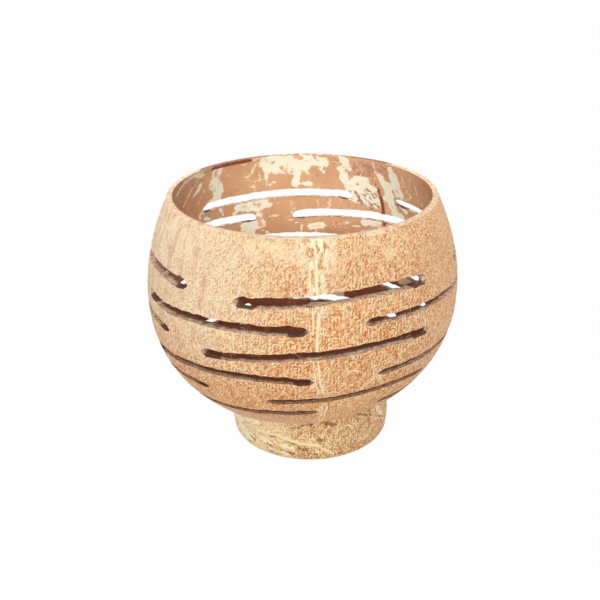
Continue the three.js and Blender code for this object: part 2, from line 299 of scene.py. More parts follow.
def wall_levels(bottom, rows, top):
    """Levels up a wall at about even steps along its curve."""
    depth = BELLY_HEIGHT - bottom
    lower = [BELLY_HEIGHT - depth * math.cos(math.pi / 2 * i / rows) for i in range(1, rows + 1)]
    steps = round(rows * UPPER_ROWS)
    upper = [BELLY_HEIGHT + (top - BELLY_HEIGHT) * i / steps for i in range(1, steps + 1)]
    return lower + upper


# Meshes

def new_object(name, data):
    obj = bpy.data.objects.new(name, data)
    bpy.context.scene.collection.objects.link(obj)
    return obj


def make_object(name, vertices, faces):
    mesh = bpy.data.meshes.new(name)
    mesh.from_pydata([tuple(v) for v in vertices], [], faces)
    mesh.update()
    return new_object(name, mesh)


def turned(name, profile, columns, move):
    """Closed solid turned from (radius, level) points whose ends lie on the leaning axis."""
    angles = np.linspace(0, 2 * math.pi, columns, endpoint=False)
    rings = profile[1:-1]
    vertices = []
    for radius, level in rings:
        for angle in angles:
            vertices.append(move(radius, angle, level))
    vertices += [(-float(lean(level)), 0, level) for level in (profile[0][1], profile[-1][1])]
    first, last = len(vertices) - 2, len(vertices) - 1
    top = (len(rings) - 1) * columns
    faces = []
    for i in range(columns):
        j = (i + 1) % columns
        faces.append((first, j, i))
        faces.append((last, top + i, top + j))
        for ring in range(len(rings) - 1):
            low, high = ring * columns, (ring + 1) * columns
            faces.append((low + i, low + j, high + j, high + i))
    return make_object(name, vertices, faces)


def ring_of_rows(name, rows, columns):
    """Closed ring from rows of vertices that run around it, the last row joined to the first."""
    faces = []
    for row in range(len(rows)):
        low, high = row * columns, ((row + 1) % len(rows)) * columns
        for i in range(columns):
            j = (i + 1) % columns
            faces.append((low + i, low + j, high + j, high + i))
    return make_object(name, [point for row in rows for point in row], faces)


def way_at(angle):
    """Level direction away from the middle, at an angle from the front towards +X."""
    return Vector((math.sin(angle), -math.cos(angle), 0))


def ways_round(columns):
    return [way_at(angle) for angle in np.linspace(0, 2 * math.pi, columns, endpoint=False)]


def rows_round(ways, place, shares):
    """A row of points round a ring for each share."""
    return [[place(i, way, share) for i, way in enumerate(ways)] for share in shares]


def angle_between(a, b):
    return (a - b + 180) % 360 - 180


def ridge_gaps(angles, levels):
    """Distances along the skin from the nearest ridge."""
    reach = outer_radius(np.minimum(levels, RIM_HEIGHT)) * math.pi / 180
    bend = RIDGE_BEND * np.clip((BELLY_HEIGHT - levels) / RIDGE_BEND_DEPTH, 0, 1)
    gaps = [np.abs(angle_between(angles, ridge + bend)) * reach for ridge in RIDGES]
    return np.min(gaps, axis=0)


def streak_amounts(angles, levels):
    """1 in the middle of the broad fibrous band that a ridge becomes near the mouth."""
    near_mouth = np.clip((levels - STREAK_LOWEST) / (RIM_HEIGHT - STREAK_LOWEST), 0, 1)
    width = STREAK_HALF_WIDTH * (0.35 + 0.65 * near_mouth)
    return (0.25 + 0.75 * near_mouth) * np.exp(-(ridge_gaps(angles, levels) / width) ** 2)


def stroke_amounts(strokes, angles, levels, reach, softness):
    """Above 0.5 inside a stroke and below it outside, over the given distance either way."""
    best = np.zeros(len(angles))
    for angle_a, level_a, angle_b, level_b, half_width in strokes:
        along = np.stack([angle_between(angles, angle_a) * reach * math.pi / 180, levels - level_a], 1)
        span = np.stack([np.full(len(angles), angle_between(angle_b, angle_a)) * reach * math.pi / 180,
                         np.full(len(angles), float(level_b - level_a))], 1)
        share = np.clip((along * span).sum(1) / np.maximum((span * span).sum(1), 1e-6), 0, 1)
        gap = np.linalg.norm(along - span * share[:, None], axis=1)
        best = np.maximum(best, 0.5 + (half_width - gap) / softness)
    return np.clip(best, 0, 1)


def shell_relief(point, angle, level, outside):
    """Height of the skin over the ideal surface: slow unevenness, ridges and sanded fibres."""
    slow = noise.noise(point * 0.035) * 0.5
    if not outside:
        return slow + noise.noise(point * 0.25) * 0.10 + noise.noise(point * 0.9) * 0.03
    fibre = noise.noise(Vector((point.x * 0.9, point.y * 0.9, point.z * 0.22))) * 0.08
    rough = noise.noise(point * 1.3) * 0.06
    place, height = np.array([math.degrees(angle)]), np.array([level])
    crest = RIDGE_RISE * math.exp(-(float(ridge_gaps(place, height)[0]) / RIDGE_HALF_WIDTH) ** 2)
    crest *= 0.7 + 0.8 * noise.noise(point * 0.3)
    torn = noise.noise(Vector((point.x * 1.2, point.y * 1.2, point.z * 0.12)))
    return slow + fibre + rough + crest + 0.35 * float(streak_amounts(place, height)[0]) * (0.5 + torn)


def cup_point(radius, angle, level):
    outside = radius > (float(outer_radius(level)) + float(inner_radius(level))) / 2
    point = Vector((radius * math.sin(angle) - float(lean(level)), -radius * math.cos(angle), level))
    calm = min(max((RIM_HEIGHT - level) / 2.0, 0.25), 1)
    lift = shell_relief(point, angle, level, outside) * calm
    axis = Vector((0, 0, (level - BELLY_HEIGHT) / BELLY_RADIUS * 0.9))
    way = (way_at(angle) * (radius / BELLY_RADIUS) + axis).normalized()
    return point + way * (lift if outside else -lift)


def whole_cup():
    edge = RIM_HEIGHT - RIM_EDGE
    inner_bottom = BOTTOM_HEIGHT + WALL_AT_BOTTOM
    outside = [(float(outer_radius(z)), z) for z in wall_levels(BOTTOM_HEIGHT, OUTSIDE_ROWS, edge)]
    inside = [(float(inner_radius(z)), z) for z in wall_levels(inner_bottom, INSIDE_ROWS, edge)]
    outer, inner = float(outer_radius(RIM_HEIGHT)), float(inner_radius(RIM_HEIGHT))
    rim = [
        (outer - 0.3 * RIM_EDGE, RIM_HEIGHT - 0.3 * RIM_EDGE), (outer - RIM_EDGE, RIM_HEIGHT),
        (inner + RIM_EDGE, RIM_HEIGHT), (inner + 0.3 * RIM_EDGE, RIM_HEIGHT - 0.3 * RIM_EDGE),
    ]
    profile = [(0, BOTTOM_HEIGHT)] + outside + rim + inside[::-1] + [(0, inner_bottom)]
    return turned("shell_bowl_fine", profile, COLUMNS, cup_point)


def path_level(slot, row_height, share):
    """Level of a slot's middle line at a share of the way along it, its corners eased."""
    steps = slot[3:]
    places = np.linspace(0, 1, len(steps))
    return row_height + DRIFT_STEP * float(np.mean(np.interp(share + EASING, places, steps)))


def saw_reach(level, width):
    return min(float(inner_radius(level - width / 2)), float(inner_radius(level + width / 2))) - OVERTRAVEL


def end_lobes(turn, lead, seed):
    """Bulges at a slot's ends: angle, half width, side and height."""
    rng = random.Random(seed)
    lobes = []
    for end in (-1, 1):
        for side in (-1, 1):
            for _ in range(2):
                place = end * (turn + lead * rng.uniform(*LOBE_PLACES))
                lobes.append((place, rng.uniform(*LOBE_HALF_WIDTHS), side, rng.uniform(*LOBE_HEIGHTS)))
    return lobes


def slot_cutter(slot, row_height):
    """Space swept by the disc, with ragged faces, bulges where it plunged and pointed run-outs."""
    start, end, width_share = slot[:3]
    width = SLOT_WIDTH * width_share
    half_span, middle = math.radians((end - start) / 2), math.radians((start + end) / 2)
    level = path_level(slot, row_height, 0.5)
    reach = saw_reach(level, width)
    path = reach + DISC_RADIUS
    skin = min(float(outer_radius(level)), math.sqrt(path ** 2 - DISC_RADIUS ** 2))
    lead = math.acos((path ** 2 + skin ** 2 - DISC_RADIUS ** 2) / (2 * path * skin))
    turn = half_span - lead
    limit = turn + math.asin(DISC_RADIUS / path) * 0.97
    outer = max(math.hypot(path, DISC_RADIUS), float(outer_radius(level + width / 2)) + 1) + 3
    lobes = end_lobes(turn, lead, start * 1000 + end)
    columns = max(round(2 * limit * skin / CUT_STEP), LEAST_CUT_COLUMNS)
    rings = len(CUT_DEPTHS)
    points = []
    for i in range(columns + 1):
        theta = -limit + 2 * limit * i / columns
        past = max(abs(theta) - turn, 0)
        near = path * math.cos(past) - math.sqrt(max(DISC_RADIUS ** 2 - (path * math.sin(past)) ** 2, 0))
        near = min(near, outer - 1.5)
        along = theta * skin
        place = path_level(slot, row_height, (theta / half_span + 1) / 2)
        spread = saw_reach(place, width) / reach
        aside = float(lean(place))
        taper = min(max((half_span - abs(theta)) * skin / END_TAPER, 0.01), 1) ** 0.6
        skin_here = float(outer_radius(place))
        place += 0.22 * noise.noise(Vector((along * 0.12, row_height, middle * 9)))
        for j in range(rings + 1):
            depth = CUT_DEPTHS[j] if j < rings else outer - near
            rho = min(near + depth, outer - 0.02 * (rings - j)) * spread
            worn = min(depth / DISC_EDGE, 1)
            half = width / 2 * taper * math.sqrt(max(1 - (1 - worn) ** 2, 0.004))
            lip = min(max((rho - skin_here + 1.2) / 1.2, 0), 1)
            for side in (-1, 1):
                seed = Vector((along * 0.35, row_height * 3 + side * 7, middle * 20 + rho * 0.25))
                fine = Vector((along * 0.95, row_height * 3 + side * 5, middle * 20 + rho * 0.6))
                rag = (0.34 * noise.noise(seed) + 0.2 * noise.noise(fine)) * min(half / width * 2, 1)
                chip = max(noise.noise(Vector((along * 0.5, row_height + side * 3, middle * 5))), 0)
                rag += side * lip * chip * (0.4 if side < 0 else 0.2)
                for angle, half_width, lobe_side, height in lobes:
                    if lobe_side == side:
                        rag += side * worn * height * math.exp(-((theta - angle) * skin / half_width) ** 2)
                turned_angle = middle + theta
                height = place + side * half + rag * taper
                across, ahead = rho * math.sin(turned_angle), rho * math.cos(turned_angle)
                points.append((across - aside, -ahead, height))

    faces = []

    def add_face(*corners):
        faces.append(tuple((i * (rings + 1) + j) * 2 + side for i, j, side in corners))

    for i in range(columns):
        for j in range(rings):
            add_face((i, j, 0), (i + 1, j, 0), (i + 1, j + 1, 0), (i, j + 1, 0))
            add_face((i, j, 1), (i, j + 1, 1), (i + 1, j + 1, 1), (i + 1, j, 1))
        add_face((i, 0, 0), (i, 0, 1), (i + 1, 0, 1), (i + 1, 0, 0))
        add_face((i, rings, 0), (i + 1, rings, 0), (i + 1, rings, 1), (i, rings, 1))
    for j in range(rings):
        add_face((0, j, 0), (0, j + 1, 0), (0, j + 1, 1), (0, j, 1))
        add_face((columns, j, 0), (columns, j, 1), (columns, j + 1, 1), (columns, j + 1, 0))
    return points, faces


def all_cutters():
    vertices, faces = [], []
    for row, slots in enumerate(SLOT_ROWS):
        for slot in slots:
            points, polygons = slot_cutter(slot, TOP_SLOT_HEIGHT - row * ROW_PITCH)
            faces += [tuple(len(vertices) + v for v in polygon) for polygon in polygons]
            vertices += points
    return make_object("slot_cutters", vertices, faces)


def apply_boolean(target, tool):
    modifier = target.modifiers.new("cut", "BOOLEAN")
    modifier.operation = "DIFFERENCE"
    modifier.solver = "MANIFOLD"
    modifier.object = tool
    graph = bpy.context.evaluated_depsgraph_get()
    cut = bpy.data.meshes.new_from_object(target.evaluated_get(graph))
    target.modifiers.clear()
    target.data = cut
    bpy.data.objects.remove(tool)


# Materials

def linear(red, green, blue):
    def channel(value):
        value /= 255
        return value / 12.92 if value <= 0.04045 else ((value + 0.055) / 1.055) ** 2.4
    return (channel(red), channel(green), channel(blue), 1)


class Nodes:
    """Short forms for building a node tree."""

    def __init__(self, name, roughness):
        self.material = bpy.data.materials.new(name)
        self.material.use_nodes = True
        self.tree = self.material.node_tree
        self.shader = self.tree.nodes["Principled BSDF"]
        self.shader.inputs["Roughness"].default_value = roughness
        self.place = self.add("ShaderNodeTexCoord").outputs["Object"]

    def add(self, kind, **values):
        node = self.tree.nodes.new(kind)
        for key, value in values.items():
            setattr(node, key, value)
        return node

    def feed(self, socket, value):
        if isinstance(value, bpy.types.NodeSocket):
            self.tree.links.new(value, socket)
        else:
            socket.default_value = value

    def scaled(self, factors, shift=(0, 0, 0)):
        node = self.add("ShaderNodeMapping")
        self.feed(node.inputs["Vector"], self.place)
        node.inputs["Scale"].default_value = factors
        node.inputs["Location"].default_value = shift
        return node.outputs["Vector"]

    def part(self, axis):
        node = self.add("ShaderNodeSeparateXYZ")
        self.feed(node.inputs[0], self.place)
        return node.outputs[axis]

    def noise(self, scale, detail=4.0, rough=0.55, vector=None, distortion=0.0):
        node = self.add("ShaderNodeTexNoise")
        self.feed(node.inputs["Vector"], self.place if vector is None else vector)
        node.inputs["Scale"].default_value = scale
        node.inputs["Detail"].default_value = detail
        node.inputs["Roughness"].default_value = rough
        node.inputs["Distortion"].default_value = distortion
        return node.outputs["Fac"]

    def ramp(self, value, low, high, start=0.0, stop=1.0):
        node = self.add("ShaderNodeMapRange", interpolation_type="SMOOTHSTEP")
        self.feed(node.inputs["Value"], value)
        for name, number in zip(("From Min", "From Max", "To Min", "To Max"), (low, high, start, stop)):
            node.inputs[name].default_value = number
        return node.outputs["Result"]

    def math(self, operation, a, b=0.0):
        node = self.add("ShaderNodeMath", operation=operation)
        self.feed(node.inputs[0], a)
        self.feed(node.inputs[1], b)
        return node.outputs[0]

    def times(self, a, b):
        return self.math("MULTIPLY", a, b)

    def plus(self, a, b):
        return self.math("ADD", a, b)

    def swing(self, width, *values, **options):
        """Noise that swings about zero over a width."""
        return self.times(self.math("SUBTRACT", self.noise(*values, **options), 0.5), width)

    def mark(self, name, ragged, low, high):
        """Where a mark of the mesh lies, with a ragged outline."""
        return self.ramp(self.plus(self.attribute(name), ragged), low, high)

    def blend(self, value, low, high, first, second):
        return self.mix(self.ramp(value, low, high), linear(*first), linear(*second))

    def vector(self, operation, a, b=None, scale=None):
        node = self.add("ShaderNodeVectorMath", operation=operation)
        self.feed(node.inputs[0], a)
        if b is not None:
            self.feed(node.inputs[1], b)
        if scale is not None:
            self.feed(node.inputs["Scale"], scale)
        return node.outputs["Value" if operation in ("LENGTH", "DOT_PRODUCT") else "Vector"]

    def mix(self, amount, a, b):
        node = self.add("ShaderNodeMix", data_type="RGBA")
        self.feed(node.inputs["Factor"], amount)
        self.feed(node.inputs["A"], a)
        self.feed(node.inputs["B"], b)
        return node.outputs["Result"]

    def attribute(self, name):
        return self.add("ShaderNodeAttribute", attribute_name=name).outputs["Fac"]

    def outward(self):
        """Direction away from the middle of the cup, close enough to the skin's normal."""
        away = self.vector("SUBTRACT", self.place, (0, 0, BELLY_HEIGHT * MM))
        return self.vector("NORMALIZE", away)

    def tangential(self, vector, normal):
        along = self.vector("DOT_PRODUCT", vector, normal)
        return self.vector("SUBTRACT", vector, self.vector("SCALE", normal, scale=along))

    def flecks(self, scale, width, length, shift, normal, upright, rare=0.15):
        """Short strokes that lie in the skin in random directions, one to a cell of the given scale."""
        moved = self.vector("ADD", self.vector("SCALE", self.place, scale=scale), shift)
        cell = self.add("ShaderNodeTexVoronoi")
        self.feed(cell.inputs["Vector"], moved)
        cell.inputs["Scale"].default_value = 1.0
        local = self.tangential(self.vector("SUBTRACT", moved, cell.outputs["Position"]), normal)
        drawn = self.vector("SUBTRACT", cell.outputs["Color"], (0.5, 0.5, 0.5))
        way = self.vector("ADD", self.tangential(drawn, normal), (0, 0, upright))
        way = self.vector("NORMALIZE", way)
        along = self.vector("DOT_PRODUCT", local, way)
        across = self.vector("LENGTH", self.vector("SUBTRACT", local, self.vector("SCALE", way, scale=along)))
        body = self.ramp(across, width, width * 0.3)
        reach = self.ramp(self.math("ABSOLUTE", along), length, length * 0.55)
        split = self.add("ShaderNodeSeparateColor")
        self.feed(split.inputs[0], cell.outputs["Color"])
        strength = self.ramp(split.outputs[0], rare, rare + 0.5)
        return self.times(self.times(body, reach), strength)

    def curls(self, scale, width, keep, shift):
        """Thin winding lines, where a smooth noise passes its middle value, broken by a slower one."""
        moved = self.vector("ADD", self.place, shift)
        line = self.math("ABSOLUTE", self.swing(1.0, scale, 1, 0.5, moved, distortion=1.0))
        broken = self.ramp(self.noise(scale * 0.7, 2, 0.5, moved), keep, keep + 0.07)
        return self.times(self.ramp(line, width, width * 0.35), broken)

    def diagonal(self, factors, angle):
        """Place turned about Y, then scaled."""
        node = self.add("ShaderNodeMapping", vector_type="TEXTURE")
        self.feed(node.inputs["Vector"], self.place)
        node.inputs["Rotation"].default_value = (0, angle, 0)
        node.inputs["Scale"].default_value = [1 / factor for factor in factors]
        return node.outputs["Vector"]

    def ridge_lines(self, fibres, broken_from=1):
        """Lines that run down the ridges of the nut, for pale fibres and for painted shadows, broken into
        lengths except the first ones.
        """
        around = self.math("ARCTAN2", self.part("X"), self.times(self.part("Y"), -1.0))
        sway = self.swing(0.07, 1, 3, 0.6, self.scaled((120, 120, 50)))
        bend_end = (BELLY_HEIGHT - RIDGE_BEND_DEPTH) * MM
        bend = self.ramp(self.part("Z"), BELLY_HEIGHT * MM, bend_end, 0.0, math.radians(RIDGE_BEND))
        around = self.math("SUBTRACT", self.plus(around, sway), bend)
        lines = 0.0
        for ridge in RIDGES:
            for number, (aside, half_width) in enumerate(fibres):
                gap = self.math("ABSOLUTE", self.math("SUBTRACT", around, math.radians(ridge) + aside))
                line = self.ramp(gap, half_width, half_width * 0.6)
                if number >= broken_from:
                    broken = self.noise(1, 3, 0.6, self.scaled((60, 60, 85), (number, 0, 0)))
                    line = self.times(line, self.ramp(broken, 0.51, 0.57))
                lines = self.math("MAXIMUM", lines, line)
        return lines

    def tint(self, amount, color, hue, strength):
        return self.mix(self.times(amount, strength), color, linear(*hue))

    def tints(self, color, *steps):
        """Lays hues over a colour: the value and range that show each, the hue and its strength."""
        for value, low, high, hue, strength in steps:
            color = self.tint(self.ramp(value, low, high), color, hue, strength)
        return color

    def bump(self, height, strength, distance):
        node = self.add("ShaderNodeBump")
        node.inputs["Strength"].default_value = strength
        node.inputs["Distance"].default_value = distance
        self.feed(node.inputs["Height"], height)
        self.feed(self.shader.inputs["Normal"], node.outputs["Normal"])

    def done(self, color, specular):
        self.feed(self.shader.inputs["Base Color"], color)
        self.shader.inputs["Specular IOR Level"].default_value = specular
        return self.material


def fibrous_ground(n, color, normal, cream, rust):
    """Fine speckle and short fibres of the sanded shell over a ground colour."""
    hue = n.noise(420, 3, 0.6, distortion=0.5)
    mottle = n.noise(1150, 3, 0.65, distortion=0.6)
    cloud = n.noise(110, 5, 0.65)
    grain = n.noise(1, 4, 0.6, n.scaled((1400, 1400, 420)))
    color = n.tints(
        color, (hue, 0.53, 0.64, (238, 142, 102), 0.42), (hue, 0.47, 0.36, (218, 168, 84), 0.42),
        (mottle, 0.50, 0.62, cream, 0.65), (mottle, 0.49, 0.38, rust, 0.62),
        (cloud, 0.50, 0.66, rust, 0.25), (cloud, 0.44, 0.32, cream, 0.35),
        (grain, 0.52, 0.64, rust, 0.48), (grain, 0.46, 0.36, cream, 0.44),
    )
    curl = n.curls(620, 0.075, 0.51, (0.5, 0.9, 0.2))
    color = n.tint(curl, color, (255, 236, 188), 0.35)
    dark = n.flecks(960, 0.26, 0.75, (3, 1, 7), normal, 0.35)
    pale = n.flecks(820, 0.22, 0.85, (1, 8, 5), normal, 0.35)
    color = n.tint(dark, color, (168, 72, 32), 0.78)
    color = n.tint(pale, color, (255, 246, 206), 0.92)
    straw = n.flecks(300, 0.10, 0.50, (6, 2, 9), normal, 0.3, rare=0.5)
    color = n.tint(straw, color, (255, 240, 198), 0.75)
    dots = n.ramp(n.noise(1300, 2, 0.5), 0.66, 0.72)
    color = n.tint(dots, color, (150, 64, 36), 0.55)
    height = n.plus(curl, n.math("SUBTRACT", pale, dark))
    n.bump(n.plus(height, n.times(mottle, 0.8)), 0.45, 0.0003)
    return color


def outer_shell_material():
    """Sanded shell: creamy near the mouth, orange round the belly, pinkish and finer underneath."""
    n = Nodes("outer_shell", 0.58)
    normal, level, side = n.outward(), n.part("Z"), n.part("X")
    ground = n.blend(n.noise(26, 3), 0.35, 0.66, (222, 146, 80), (234, 164, 98))
    # Creamier towards the mouth; the +X side is darker, which is painted shade
    ground = n.tints(
        ground, (level, 0.066, 0.098, (246, 202, 154), 0.9), (side, -0.005, 0.055, (216, 150, 98), 0.40),
    )
    # Painted light: the -X side between 40 and 80 mm up is lighter
    painted_light_left = n.times(n.ramp(side, 0.0, -0.040), n.ramp(level, 0.040, 0.080))
    ground = n.tint(painted_light_left, ground, (255, 230, 196), 0.8)
    # Painted shade: the lower +X side is darker
    painted_shade_low_right = n.times(n.ramp(side, 0.004, 0.030), n.ramp(level, 0.062, 0.046))
    ground = n.tint(painted_shade_low_right, ground, (176, 116, 70), 0.3)
    speckled = fibrous_ground(n, ground, normal, (254, 226, 174), (192, 104, 54))
    # More painted light on the -X side
    speckled = n.tint(painted_light_left, speckled, (255, 238, 204), 0.4)
    speckled = n.tint(n.ramp(side, 0.030, 0.058), speckled, (252, 208, 160), 0.25)
    smooth = n.blend(n.noise(1400, 4, 0.7), 0.35, 0.65, (212, 156, 126), (238, 194, 162))
    height = n.plus(level, n.times(n.noise(60, 3), 0.008))
    low = n.ramp(n.plus(height, n.times(side, 0.25)), 0.037, 0.023)
    color = n.mix(n.times(low, 0.85), speckled, smooth)
    pale = n.mark("pale", n.swing(1.6, 1, 5, 0.7, n.scaled((330, 330, 150))), 0.45, 0.62)
    color = n.tint(pale, color, (255, 238, 198), 0.45)
    torn = n.noise(1, 5, 0.7, n.scaled((640, 640, 50)))
    streak = n.attribute("streak")
    color = n.tint(n.times(n.ramp(torn, 0.49, 0.54), streak), color, (255, 250, 222), 1.0)
    color = n.tint(n.times(n.ramp(torn, 0.46, 0.39), streak), color, (196, 110, 62), 0.8)
    weathered = n.times(n.ramp(side, -0.004, -0.040), n.noise(1, 3, 0.6, n.scaled((280, 280, 20))))
    color = n.tint(n.ramp(weathered, 0.48, 0.66), color, (204, 112, 84), 0.35)
    # Painted shadows beside the ridges: dark lines on their +X side
    color = n.tint(n.ridge_lines(RIDGE_SHADOWS, 0), color, (140, 78, 44), 0.7)
    broken = n.ramp(n.noise(170, 4, 0.6), 0.36, 0.46)
    color = n.tint(n.times(n.ridge_lines(RIDGE_FIBRES), broken), color, (255, 240, 190), 0.9)
    color = n.tint(n.ramp(n.attribute("edge"), 0.35, 0.95), color, (250, 212, 176), 0.5)
    return n.done(color, 0.25)


def foot_shell_material():
    """Shell of the foot: olive tan, with cream islands of husk and pale fibres lying across it."""
    n = Nodes("foot_shell", 0.6)
    normal = n.vector("NORMALIZE", n.vector("MULTIPLY", n.place, (1, 1, 0)))
    ground = n.blend(n.noise(45, 4), 0.38, 0.62, (200, 148, 92), (220, 176, 122))
    # Painted light: the -X side of the foot is lighter
    ground = n.tint(n.ramp(n.part("X"), 0.004, -0.018), ground, (255, 226, 176), 0.9)
    color = fibrous_ground(n, ground, normal, (252, 226, 170), (162, 98, 50))
    # More painted light on the -X side of the foot
    color = n.tint(n.ramp(n.part("X"), 0.002, -0.014), color, (255, 238, 192), 0.55)
    patch = n.plus(n.attribute("patch"), n.swing(1.4, 330, 6, 0.7, distortion=0.6))
    color = n.tint(n.ramp(patch, 0.38, 0.46), color, (190, 108, 58), 0.65)
    cream = n.blend(n.noise(400, 4), 0.50, 0.64, (255, 246, 212), (246, 206, 140))
    color = n.mix(n.times(n.ramp(patch, 0.47, 0.53), 0.95), color, cream)
    wisps = n.swing(1.3, 520, 5, 0.65, distortion=0.5)
    color = n.tint(n.mark("fibre", wisps, 0.46, 0.58), color, (255, 234, 186), 0.9)
    color = n.tint(n.mark("dark", wisps, 0.46, 0.60), color, (136, 74, 36), 0.75)
    base_edge = n.ramp(n.plus(n.part("Z"), n.times(n.noise(300, 3), 0.0012)), 0.0016, 0.0006)
    color = n.tint(base_edge, color, (190, 120, 92), 0.6)
    return n.done(color, 0.25)


def inner_shell_material():
    """Inside of the nut: smooth brown skin, ragged cream patches where it came away, and fine cream veins."""
    n = Nodes("inner_shell", 0.42)
    level = n.part("Z")
    brown = n.blend(n.noise(60, 5), 0.35, 0.7, (220, 172, 132), (230, 186, 148))
    fibres = n.noise(1, 4, 0.6, n.scaled((900, 900, 160)))
    brown = n.tint(n.ramp(fibres, 0.50, 0.75), brown, (190, 132, 94), 0.4)
    # Darker towards the bottom of the cup: partly painted shade, partly the lining's own darker brown
    deep = n.ramp(level, 0.074, 0.042)
    brown = n.tint(deep, brown, (122, 56, 30), 0.94)
    worn = n.times(deep, n.ramp(n.noise(170, 5, 0.65, distortion=0.5), 0.56, 0.64))
    brown = n.tint(worn, brown, (176, 106, 52), 0.6)
    broad = n.swing(1.1, 200, 7, 0.72, distortion=0.8)
    edge = n.plus(n.attribute("patch"), broad)
    patch = n.ramp(edge, 0.48, 0.53)
    cream = n.blend(n.noise(190, 5, 0.6), 0.56, 0.68, (255, 253, 232), (254, 224, 166))
    cream = n.tint(n.mark("ochre", n.swing(0.9, 420, 4), 0.42, 0.60), cream, (232, 158, 92), 0.75)
    # Painted shade, partly real colour: the cream patches also darken towards the bottom
    cream = n.tint(deep, cream, (190, 136, 88), 0.6)
    flaking = n.times(n.ramp(edge, 0.36, 0.47), n.ramp(n.noise(700, 4, 0.7), 0.50, 0.58))
    color = n.tint(flaking, brown, (246, 214, 168), 0.8)
    color = n.mix(patch, color, cream)
    color = n.tint(n.mark("vein", n.swing(0.8, 450, 4, 0.6), 0.47, 0.56), color, (254, 236, 196), 0.9)
    hatching = n.noise(1, 4, 0.65, n.diagonal((900, 900, 260), HATCH_ANGLE))
    hatched = n.mark("hatched", n.times(broad, 0.5), 0.42, 0.54)
    color = n.tint(n.times(hatched, n.ramp(hatching, 0.50, 0.56)), color, (170, 104, 60), 0.85)
    cells = n.add("ShaderNodeTexVoronoi", feature="DISTANCE_TO_EDGE")
    wobble = n.add("ShaderNodeTexNoise")
    n.feed(wobble.inputs["Vector"], n.place)
    wobble.inputs["Scale"].default_value = 220
    bent = n.vector("ADD", n.place, n.vector("SCALE", wobble.outputs["Color"], scale=0.007))
    n.feed(cells.inputs["Vector"], bent)
    cells.inputs["Scale"].default_value = 85
    vein = n.times(n.ramp(cells.outputs["Distance"], 0.034, 0.010), n.ramp(n.noise(80, 3), 0.53, 0.58))
    color = n.tint(vein, color, (252, 228, 184), 0.8)
    scratched = n.mark("scratched", n.times(broad, 0.6), 0.42, 0.56)
    color = n.tint(scratched, color, (190, 144, 122), 0.8)
    scrape = n.ramp(n.noise(1, 4, 0.7, n.scaled((1000, 1000, 200))), 0.54, 0.60)
    color = n.tint(n.times(scratched, scrape), color, (246, 222, 196), 0.85)
    color = n.tint(n.mark("seam", n.times(n.noise(500, 4), 0.3), 0.55, 0.75), color, (134, 60, 40), 0.9)
    n.bump(n.plus(patch, n.times(n.noise(500, 3), 0.3)), 0.4, 0.0003)
    return n.done(color, 0.2)


def cut_material(name, light, dark, stain, low=None):
    """Sawn section of the wall: dense, streaked along the cut, with scorched places, and darker low down."""
    n = Nodes(name, 0.7)
    streak = n.noise(1, 5, 0.65, n.scaled((420, 420, 1700)))
    speck = n.noise(900, 3)
    color = n.blend(streak, 0.40, 0.58, dark, light)
    if low:
        deep = n.ramp(n.part("Z"), 0.066, 0.043)
        color = n.tint(deep, color, low, 0.75)
        color = n.tint(n.ramp(n.noise(900, 4, 0.75), 0.51, 0.60), color, (88, 48, 32), 0.6)
        color = n.tint(n.times(deep, n.ramp(n.noise(1100, 3, 0.7), 0.54, 0.62)), color, (206, 162, 118), 0.7)
        inward = n.plus(n.attribute("depth"), n.times(n.noise(480, 4, 0.65), 1.6))
        shade = n.times(n.ramp(inward, 2.0, 3.0), n.ramp(n.part("Z"), 0.086, 0.066, 0.3, 1.0))
        color = n.tint(shade, color, (66, 32, 18), 0.8)
    color = n.tint(n.ramp(speck, 0.60, 0.72), color, stain, 0.4)
    color = n.tint(n.mark("stain", n.swing(0.8, 350, 4), 0.35, 0.62), color, stain, 0.85)
    n.bump(n.plus(streak, speck), 0.5, 0.0004)
    return n.done(color, 0.2)


def glue_material():
    n = Nodes("dried_glue", 0.22)
    color = n.blend(n.noise(220, 4), 0.4, 0.6, (206, 178, 122), (232, 212, 162))
    n.bump(n.noise(300, 3), 0.3, 0.0005)
    return n.done(color, 0.5)


def vertex_places(mesh):
    places = np.empty(len(mesh.vertices) * 3)
    mesh.vertices.foreach_get("co", places)
    return places.reshape(-1, 3)


def write_attribute(mesh, name, values):
    attribute = mesh.attributes.new(name, "FLOAT", "POINT")
    attribute.data.foreach_set("value", np.asarray(values, dtype=np.float32))


def end_stain(angles, levels):
    """Scorched places of the cut faces, near the ends of the slots."""
    stain = np.zeros(len(angles))
    for row, slots in enumerate(SLOT_ROWS):
        for slot in slots:
            for end, sign, share in ((slot[0], 1, 0.0), (slot[1], -1, 1.0)):
                if (row, end) not in SCORCHED_ENDS:
                    continue
                height = path_level(slot, TOP_SLOT_HEIGHT - row * ROW_PITCH, share)
                inward = angle_between(angles, end) * sign
                near = np.clip((SCORCH_STOP - inward) / SCORCH_FADE, 0, 1)
                near *= np.clip(inward / SCORCH_FULL, 0, 1)
                beside = np.abs(levels - height) < SCORCH_HALF_HEIGHT
                stain = np.maximum(stain, SCORCH_AMOUNT * near * beside)
    return stain


def wall_radii(levels):
    """Radii of the skin and of the lining at levels of the finished wall."""
    outer = outer_radius(np.clip(levels, BOTTOM_HEIGHT, RIM_HEIGHT))
    return outer, inner_radius(np.clip(levels, BOTTOM_HEIGHT + WALL_AT_BOTTOM, RIM_HEIGHT))


